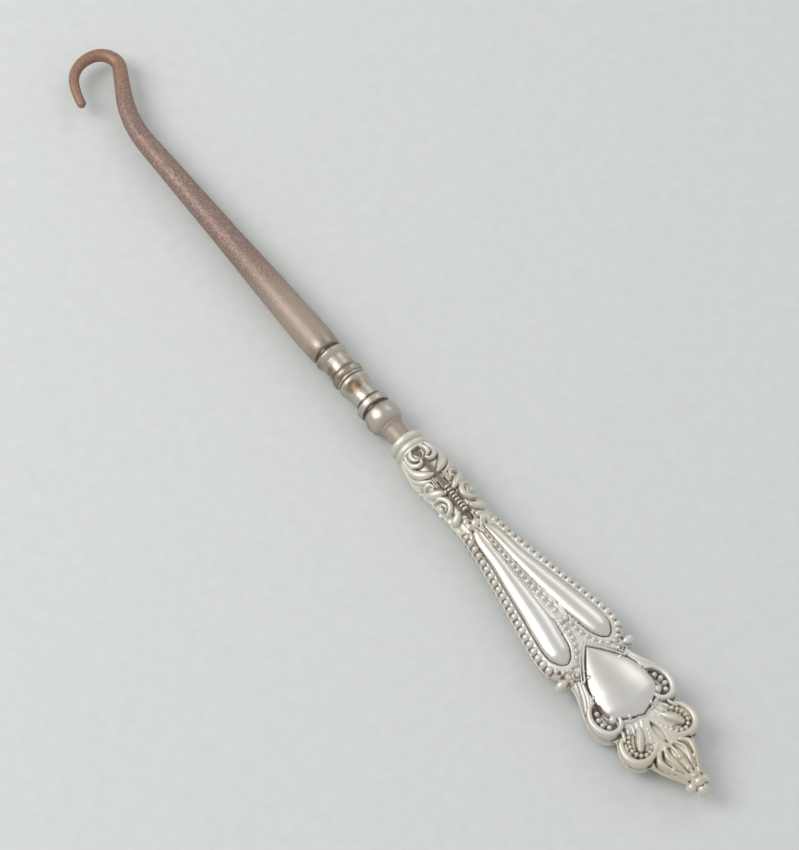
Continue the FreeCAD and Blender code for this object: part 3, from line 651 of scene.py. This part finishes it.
def handle_shells(material):
    """Front and back of the handle, each in three lengths that share their end rows."""
    surface, normal, marks, counts = struck_surface()
    inner = inside_face(surface)
    begin = 0
    for part, count in zip(("neck", "panels", "crest"), counts):
        cut = slice(begin, begin + count)
        inner_cut = slice(begin // STRIDE, (begin + count - 1) // STRIDE + 1)
        begin += count - 1
        vertices, faces, normals, piece_marks = sheet_body(
            surface[cut], inner[inner_cut], normal[cut],
            {mark: values[cut] for mark, values in marks.items()})
        for side, flip in (("front", 1.0), ("back", -1.0)):
            points = vertices * (1.0, 1.0, flip)
            make_piece(f"{side}_{part}", points, outward(points, faces), material,
                       f"{side}_shell", normals * (1.0, 1.0, flip), piece_marks)
    return inner


TANG_END = 48.0
BORE_CLEARANCE = 0.04


def pitch_filling(inner, material):
    """Pitch poured into the handle: the shells' inner faces, and a bore that fits the tang.

    Rings run along the bore from its blind end to the collar, then back outside to the tip.
    """
    front = inner * (1.0, 0.995, 0.985)
    back = front[:, -2:0:-1] * (1.0, 1.0, -1.0)
    outside = np.concatenate([front, back], axis=1)
    phi = np.linspace(0.0, 2 * math.pi, outside.shape[1] + 1)[:-1]
    x = np.linspace(TANG_END + 0.1, 13.0, 40)
    radius = along(x, TURNED_STEEL) + BORE_CLEARANCE
    bore = np.stack([x[:, None] + 0 * phi, -radius[:, None] * np.cos(phi),
                     radius[:, None] * np.sin(phi)], axis=-1)
    vertices, faces = lathe_body(np.concatenate([bore, outside]))
    make_piece("pitch_filling", vertices, outward(vertices, faces), material, "pitch_core")


SOLDER_START = 13.2
SOLDER_REACH = 0.12
SOLDER_HALF_HEIGHT = 0.15


def seam_line(material):
    """Solder line: an oval section carried round the outline from the collar over the tip."""
    x = np.concatenate(shell_rows())
    x = np.unique(np.concatenate([x[::2], TIP_BALL[0] + TIP_BALL[2]
                                  * np.sin(np.linspace(0.0, math.pi / 2, 40))]))
    x = x[x > SOLDER_START]
    side = np.stack([x, half_width(x)], axis=1)
    path = np.vstack([side[:-1], side[::-1] * (1.0, -1.0)])
    path[len(side) - 1] = (TIP_BALL[0] + TIP_BALL[2], 0.0)
    heading = np.gradient(path, axis=0)
    heading /= np.linalg.norm(heading, axis=1, keepdims=True)
    out = np.stack([-heading[:, 1], heading[:, 0]], axis=1)
    angle = np.linspace(0.0, 2 * math.pi, 11)[:-1]
    proud = SOLDER_REACH * np.cos(angle)[None, :, None]
    rings = np.empty((len(path), len(angle), 3))
    rings[..., :2] = path[:, None, :] + proud * out[:, None, :]
    rings[..., 2] = SOLDER_HALF_HEIGHT * np.sin(angle)[None, :]
    vertices, faces = lathe_body(rings)
    make_piece("seam_solder_line", vertices, outward(vertices, faces), material, "seam_solder")


# ---------------------------------------------------------------- steel and collar

TURNED_STEEL = [
    (-70.8, 1.95), (-45.0, 2.46), (-16.6, 3.12), (-14.6, 3.08), (-13.6, 2.92), (-13.25, 2.66),
    (-12.75, 2.66), (-12.5, 2.97), (-12.1, 3.12), (-11.7, 3.02), (-10.9, 2.7), (-9.8, 2.58),
    (-8.4, 2.6), (-7.95, 2.66), (-7.75, 2.92), (-7.2, 3.08), (-6.7, 3.0), (-6.35, 2.78),
    (-6.15, 2.86), (-5.85, 2.84), (-5.7, 2.66), (-5.5, 2.96), (-5.0, 3.02), (-4.1, 2.76),
    (-2.6, 2.54), (-0.8, 2.52), (-0.2, 2.56), (0.0, 3.07), (0.6, 3.15), (1.2, 3.07), (1.4, 2.72),
    (1.8, 2.76), (2.4, 3.06), (3.3, 3.25), (4.0, 3.28), (4.8, 3.14), (5.5, 2.68), (6.0, 2.28),
    (6.3, 2.2), (6.7, 2.0), (7.4, 1.95), (10.5, 1.95), (48.0, 1.1),
]
BENDS = [(26.0, 27.0, -1), (6.3, 0.0, 0), (3.8, 108.0, 1), (5.8, 74.0, 1), (18.6, 15.0, 1)]
WIRE_RADII = [1.95, 1.6, 1.38, 1.18, 0.95, 0.86]
BEND_START = -70.8
BARE_PITS = 0.01
RUST_PITS = 0.024
RUST_WAVE = 0.03


def hook_line():
    """Centre line of the hook from the straight shank out: run, place, heading and wire radius."""
    runs, headings = [0.0], [180.0]
    for size, turn, side in BENDS:
        runs.append(runs[-1] + (size if side == 0 else size * math.radians(turn)))
        headings.append(headings[-1] + turn * side)
    run = np.linspace(0.0, runs[-1], 4000)
    heading = np.radians(np.interp(run, runs, headings))
    pace = run[1]
    x = BEND_START + np.concatenate([[0.0], np.cumsum(np.cos(heading[1:]) * pace)])
    y = np.concatenate([[0.0], np.cumsum(np.sin(heading[1:]) * pace)])
    radius = along(run, list(zip(runs, WIRE_RADII)))
    return run, x, y, heading, radius


def steel_tool(material):
    """Hook, shank, turned bands and tang: a round section carried along the centre line.

    The radius follows the turned stations and the drawn-down wire, less the pits of the rust,
    which are two layers of noise over length and girth.
    """
    run, hook_x, hook_y, heading, wire = hook_line()
    stops = np.linspace(run[-1], 0.0, 190)[:-1]
    tip = wire[-1]
    cap = np.linspace(0.0, math.pi / 2, 9)[:-1]
    ends = np.interp(stops, run, hook_x), np.interp(stops, run, hook_y)
    facing = np.interp(stops, run, heading)
    straight = np.concatenate([np.linspace(BEND_START, -17.0, 330)[:-1],
                               np.linspace(-17.0, 10.4, 420), np.linspace(11.0, TANG_END, 12)])
    last = np.array([hook_x[-1], hook_y[-1]])
    ahead = np.array([math.cos(heading[-1]), math.sin(heading[-1])])
    cap_places = last + (tip * np.cos(cap))[:, None] * ahead
    x = np.concatenate([cap_places[:, 0], ends[0], straight])
    y = np.concatenate([cap_places[:, 1], ends[1], np.zeros_like(straight)])
    turn = np.concatenate([np.full(len(cap), heading[-1]), facing,
                           np.full(len(straight), math.pi)])
    radius = np.concatenate([tip * np.sin(cap), np.interp(stops, run, wire),
                             along(straight, TURNED_STEEL)])
    radius = np.maximum(radius, SLIVER)
    travel = np.concatenate([[0.0], np.cumsum(np.hypot(np.diff(x), np.diff(y)))])
    angle = np.linspace(0.0, 2 * math.pi, 97)[:-1]
    girth = angle[None, :] / (2 * math.pi)
    u = travel[:, None] + 0 * girth
    rust = 1.0 - step(-17.5, -15.0, x)[:, None]
    coarse = mottle(u / 1.1, girth * 16.0, SEED)
    fine = mottle(u / 0.42, girth * 32.0, SEED + 1)
    pits = np.minimum(0.4 * coarse + 0.8 * fine, 0.35)
    amount = BARE_PITS + RUST_PITS * rust
    wave = RUST_WAVE * mottle(u / 6.0, girth * 4.0, SEED + 2) * rust
    girth_radius = radius[:, None] * (1.0 + 0 * girth)
    girth_radius = girth_radius + (amount * pits + wave) * step(0.0, 0.8, radius)[:, None]
    across = np.stack([-np.sin(turn), np.cos(turn), np.zeros_like(turn)], axis=1)
    centre = np.stack([x, y, np.zeros_like(x)], axis=1)
    rings = (centre[:, None, :] + (girth_radius * np.cos(angle))[..., None] * across[:, None, :]
             + (girth_radius * np.sin(angle))[..., None] * np.array([0.0, 0.0, 1.0]))
    vertices, faces = lathe_body(rings)
    groove = (softened(girth_radius, 13, 0) - girth_radius) / TARNISH_DEPTH * (1.0 - rust)
    hollow = np.concatenate([np.clip(groove, -1.0, 1.0).ravel(), [0.0, 0.0]])
    make_piece("hook_and_shank", vertices, outward(vertices, faces), material, "hook_shank",
               marks={"hollow": hollow})


COLLAR_OUTSIDE = [
    (9.9, 2.9), (10.0, 3.15), (10.25, 3.33), (10.6, 3.4), (10.95, 3.35), (11.2, 3.2),
    (11.38, 3.02), (11.5, 3.0), (11.65, 3.12), (11.9, 3.32), (12.25, 3.4), (12.6, 3.34),
    (12.78, 3.2), (12.86, 3.08), (12.98, 3.16), (13.12, 3.2), (13.3, 3.16),
]
COLLAR_BORE = [(13.2, 2.42), (10.5, 2.42), (10.5, 1.95), (9.86, 1.95), (9.84, 2.4)]
COLLAR_RUBBED_RADIUS = 3.22


def ringed_collar(material):
    """Collar: the outside turned in two round rings and a fillet, with a bore for the tang."""
    x = np.linspace(COLLAR_OUTSIDE[0][0], COLLAR_OUTSIDE[-1][0], 130)
    outside = np.stack([x, along(x, COLLAR_OUTSIDE)], axis=1)
    profile = np.vstack([outside, COLLAR_BORE])
    angle = np.linspace(0.0, 2 * math.pi, 129)[:-1]
    rings = np.stack([profile[:, 0][:, None] + 0 * angle, profile[:, 1][:, None] * np.cos(angle),
                      profile[:, 1][:, None] * np.sin(angle)], axis=-1)
    rows = len(profile)
    order = np.concatenate([np.arange(rows), [0]])
    vertices = rings.reshape(-1, 3)
    looped = grid_faces(rows + 1, len(angle), wrap=True)
    looped = order[looped // len(angle)] * len(angle) + looped % len(angle)
    hollow = np.clip((COLLAR_RUBBED_RADIUS - profile[:, 1]) / TARNISH_DEPTH, 0.0, 1.0)
    make_piece("ringed_collar", vertices, outward(vertices, [looped]), material, "neck_collar",
               marks={"hollow": np.repeat(hollow, len(angle))})


# ---------------------------------------------------------------- materials

def linear(code):
    """Linear colour, with full alpha, of an sRGB hex value."""
    parts = [int(code[k:k + 2], 16) / 255.0 for k in (1, 3, 5)]
    return tuple(c / 12.92 if c <= 0.04045 else ((c + 0.055) / 1.055) ** 2.4
                 for c in parts) + (1.0,)


def add(tree, kind, settings=None, links=None):
    """A node with its settings, whose named or numbered inputs are linked or given a value."""
    node = tree.nodes.new(kind)
    for name, value in (settings or {}).items():
        setattr(node, name, value)
    for name, value in (links or {}).items():
        if isinstance(value, bpy.types.NodeSocket):
            tree.links.new(value, node.inputs[name])
        else:
            node.inputs[name].default_value = value
    return node


def new_material(name):
    """An empty material with its output, its tree and the piece's own coordinates."""
    material = bpy.data.materials.new(name)
    material.use_nodes = True
    tree = material.node_tree
    tree.nodes.clear()
    output = add(tree, "ShaderNodeOutputMaterial")
    place = add(tree, "ShaderNodeTexCoord").outputs["Object"]
    return material, tree, output, place


def ramp(tree, value, stops):
    """Colours at positions along a value, as (position, hex) stops."""
    node = add(tree, "ShaderNodeValToRGB", None, {"Fac": value})
    bar = node.color_ramp
    while len(bar.elements) < len(stops):
        bar.elements.new(0.5)
    for element, (position, colour) in zip(bar.elements, stops):
        element.position = position
        element.color = linear(colour)
    return node.outputs["Color"]


def calc(tree, operation, *values):
    """Result of one sum on sockets or plain numbers."""
    return add(tree, "ShaderNodeMath", {"operation": operation},
               dict(enumerate(values))).outputs[0]


def carried(tree, name):
    """A value that the piece's own points carry."""
    return add(tree, "ShaderNodeAttribute", {"attribute_name": name}).outputs["Fac"]


def noise(tree, place, scale, detail, roughness=0.5):
    """Noise over the piece's own coordinates, its scale in lumps to the metre."""
    return add(tree, "ShaderNodeTexNoise", None,
               {"Vector": place, "Scale": scale, "Detail": detail,
                "Roughness": roughness}).outputs["Fac"]


def spread(tree, value, low=0.0, high=1.0, to_low=0.0, to_high=1.0, smooth=False):
    """A value between low and high carried over to another range, evenly or by a smooth step."""
    return add(tree, "ShaderNodeMapRange",
               {"interpolation_type": "SMOOTHSTEP" if smooth else "LINEAR"},
               {"Value": value, "From Min": low, "From Max": high,
                "To Min": to_low, "To Max": to_high}).outputs[0]


def between(tree, value, low, high, soft):
    """1 where a value in metres lies between low and high, fading over soft outside them."""
    return calc(tree, "MULTIPLY", spread(tree, value, low - soft, low, smooth=True),
                spread(tree, value, high + soft, high, smooth=True))


def coat(tree, output, look):
    """The principled shader with the given colour, roughness and the rest, as the surface."""
    shader = add(tree, "ShaderNodeBsdfPrincipled", None, look)
    tree.links.new(shader.outputs[0], output.inputs["Surface"])


def blend(tree, share, under, over, settings=None):
    """Colour mix of under and over, either being a socket or a hex value."""
    pair = [linear(c) if isinstance(c, str) else c for c in (under, over)]
    return add(tree, "ShaderNodeMix", {"data_type": "RGBA", **(settings or {})},
               {0: share, 6: pair[0], 7: pair[1]}).outputs[2]


BURNISHED = 0.36
FROSTED = 0.48


def silver(name, bright="#e4e0da"):
    """Struck and burnished sterling silver.

    Panels and heart are burnished smooth and the ornament round them is frosted by the die. The
    high places are rubbed bright, and the hollows hold a warm grey-brown tarnish that the polishing
    cloth can't reach, drier and less metallic than the silver. Faint yellow-green patches are old
    polish and sulphide, and the husk at the handle's end is the yellowest and darkest in its lines.
    """
    material, tree, output, place = new_material(name)
    polish = carried(tree, "polish")
    cloud = noise(tree, place, 260.0, 4.0, 0.55)
    tarnish = spread(tree, calc(tree, "MULTIPLY_ADD", cloud, 0.5, carried(tree, "hollow")),
                     0.58, 1.35, smooth=True)
    patches = noise(tree, place, 95.0, 2.0)
    tone = ramp(tree, patches, [(0.35, bright), (0.62, "#dad4c8")])
    along_x = add(tree, "ShaderNodeSeparateXYZ", None, {0: place}).outputs["X"]
    husk = between(tree, along_x, 0.081, 0.091, 0.005)
    tone = blend(tree, calc(tree, "MULTIPLY", husk, 0.25), tone, "#cfc29c")
    dirt = blend(tree, husk, "#88786a", "#5d5038")
    colour = blend(tree, tarnish, tone, dirt)
    metal = calc(tree, "MULTIPLY_ADD", tarnish, -0.35, spread(tree, polish, to_low=0.78))
    finish = spread(tree, polish, to_low=FROSTED, to_high=BURNISHED)
    rough = calc(tree, "MULTIPLY_ADD", tarnish, 0.15, finish)
    scratch = noise(tree, place, 2600.0, 3.0)
    bump = add(tree, "ShaderNodeBump", None,
               {"Height": scratch, "Strength": 0.12, "Distance": 0.00003}).outputs[0]
    coat(tree, output, {"Base Color": colour, "Roughness": rough, "Metallic": metal,
                        "Normal": bump})
    return material


def old_steel():
    """Forged and turned tool steel.

    The shank and hook carry an even, pitted pinkish brown rust, dry to the eye, with bare grains
    that sparkle. Over the turned bands it thins to grey steel, still semi-polished, with brown left
    in the grooves, a straw-coloured band where the turning starts, and a pitted neck at the collar.
    """
    material, tree, output, place = new_material("rusted_forged_steel")
    along_x = add(tree, "ShaderNodeSeparateXYZ", None, {0: place}).outputs["X"]
    grain = noise(tree, place, 3000.0, 4.0, 0.6)
    cloud = noise(tree, place, 240.0, 3.0)
    shank = between(tree, along_x, -0.2, -0.0165, 0.0025)
    hook_end = between(tree, along_x, -0.2, -0.088, 0.008)
    straw = between(tree, along_x, -0.0158, -0.0136, 0.0008)
    neck = between(tree, along_x, 0.0062, 0.02, 0.0012)
    rust_tone = ramp(tree, grain, [(0.3, "#806d66"), (0.5, "#9d8880"), (0.7, "#c3b1a8")])
    warm = ramp(tree, cloud, [(0.35, "#93827c"), (0.65, "#a0846f")])
    rust = blend(tree, 0.4, rust_tone, warm, {"blend_type": "OVERLAY"})
    worn = between(tree, along_x, -0.021, 0.0, 0.02)
    rust = blend(tree, calc(tree, "MULTIPLY", worn, 0.75), rust, "#b0a192")
    rust = blend(tree, calc(tree, "MULTIPLY", hook_end, 0.45), rust, "#a67c5c")
    patch = spread(tree, cloud, 0.44, 0.66, smooth=True)
    bare = blend(tree, patch, "#c2b9ad", "#806d57")
    bare = blend(tree, straw, bare, "#a5988a")
    sunk = spread(tree, carried(tree, "hollow"), 0.05, 0.6, smooth=True)
    bare = blend(tree, sunk, bare, "#5f5449")
    bare = blend(tree, neck, bare, blend(tree, 0.5, rust_tone, "#bdb1a0"))
    colour = blend(tree, shank, bare, rust)
    dry = calc(tree, "MAXIMUM", shank, neck)
    metal = spread(tree, dry, to_low=0.95, to_high=0.5)
    rough = spread(tree, dry, to_low=0.34, to_high=0.52)
    bump = add(tree, "ShaderNodeBump", None,
               {"Height": grain, "Strength": 0.5, "Distance": 0.00009}).outputs[0]
    coat(tree, output, {"Base Color": colour, "Roughness": rough, "Metallic": metal,
                        "Normal": bump})
    return material


def pitch():
    """Dark brown setter's pitch, glossy where it was poured and dusty in its pores."""
    material, tree, output, place = new_material("setters_pitch")
    colour = ramp(tree, noise(tree, place, 900.0, 3.0), [(0.35, "#1f1712"), (0.7, "#33271e")])
    coat(tree, output, {"Base Color": colour, "Roughness": 0.45})
    return material


def pale_table():
    """Plain matt pale board that the tool lies on."""
    material, tree, output, place = new_material("pale_table")
    colour = ramp(tree, noise(tree, place, 400.0, 2.0), [(0.3, "#d6d8d5"), (0.7, "#dadcd9")])
    coat(tree, output, {"Base Color": colour, "Roughness": 0.9})
    return material


# ---------------------------------------------------------------- the pieces

handle_silver = silver("struck_sterling_silver")
inner_face = handle_shells(handle_silver)
pitch_filling(inner_face, pitch())
seam_line(silver("silver_solder", "#d8d4ca"))
ringed_collar(silver("turned_sterling_silver", "#e0ddd0"))
steel_tool(old_steel())


# ---------------------------------------------------------------- table, light and camera

TABLE_HALF = 2.0
ROOM_STRENGTH = 0.86
LIGHTS_AIM = (0.03, 0.0, 0.0)


def studio():
    """The pale table, an even room and two soft boxes."""
    table = bpy.data.meshes.new("table")
    half = TABLE_HALF
    table.from_pydata([(-half, -half, 0), (half, -half, 0), (half, half, 0), (-half, half, 0)], [],
                      [(0, 1, 2, 3)])
    table.materials.append(pale_table())
    floor = bpy.data.objects.new("table", table)
    bpy.context.scene.collection.objects.link(floor)

    world = bpy.data.worlds.new("soft_room")
    world.use_nodes = True
    room = world.node_tree.nodes["Background"]
    room.inputs["Color"].default_value = linear("#dfe1e3")
    room.inputs["Strength"].default_value = ROOM_STRENGTH
    bpy.context.scene.world = world

    # The large soft box stands to the left of the picture, where the polished panels catch it
    for name, place, size, power in (
            ("left_soft_box", (-0.27, -0.33, 0.44), 0.36, 1.6),
            ("far_soft_box", (-0.25, 0.55, 0.55), 0.30, 0.4)):
        lamp = bpy.data.lights.new(name, "AREA")
        lamp.shape = "SQUARE"
        lamp.size = size
        lamp.energy = power
        light = bpy.data.objects.new(name, lamp)
        bpy.context.scene.collection.objects.link(light)
        aim = Vector(LIGHTS_AIM) - Vector(place)
        light.rotation_euler = aim.to_track_quat("-Z", "Y").to_euler()
        light.location = place


CAMERA_HEIGHT_ANGLE = 59.6
CAMERA_TURN = 53.3185
CAMERA_DISTANCE = 600.0
CAMERA_TARGET = (6.562, 1.432, AXIS)
FOCAL_PIXELS = 3363.28
PICTURE_HEIGHT = 850


def place_camera():
    """Camera at the photograph's angle, from its height angle, turn and distance."""
    height, turn = math.radians(CAMERA_HEIGHT_ANGLE), math.radians(CAMERA_TURN)
    back = Vector((math.sin(turn) * math.cos(height), -math.cos(turn) * math.cos(height),
                   math.sin(height)))
    right = Vector((math.cos(turn), math.sin(turn), 0.0))
    up = back.cross(right)
    place = (Vector(CAMERA_TARGET) + back * CAMERA_DISTANCE) * MM
    lens = bpy.data.cameras.new("photo_camera")
    lens.sensor_width = 36.0
    lens.lens = lens.sensor_width * FOCAL_PIXELS / PICTURE_HEIGHT
    lens.clip_start = 0.01
    camera = bpy.data.objects.new("photo_camera", lens)
    bpy.context.scene.collection.objects.link(camera)
    axes = Matrix((right, up, back)).transposed().to_4x4()
    camera.matrix_world = Matrix.Translation(place) @ axes
    bpy.context.scene.camera = camera


studio()
place_camera()
bpy.context.scene.view_settings.view_transform = "Standard"
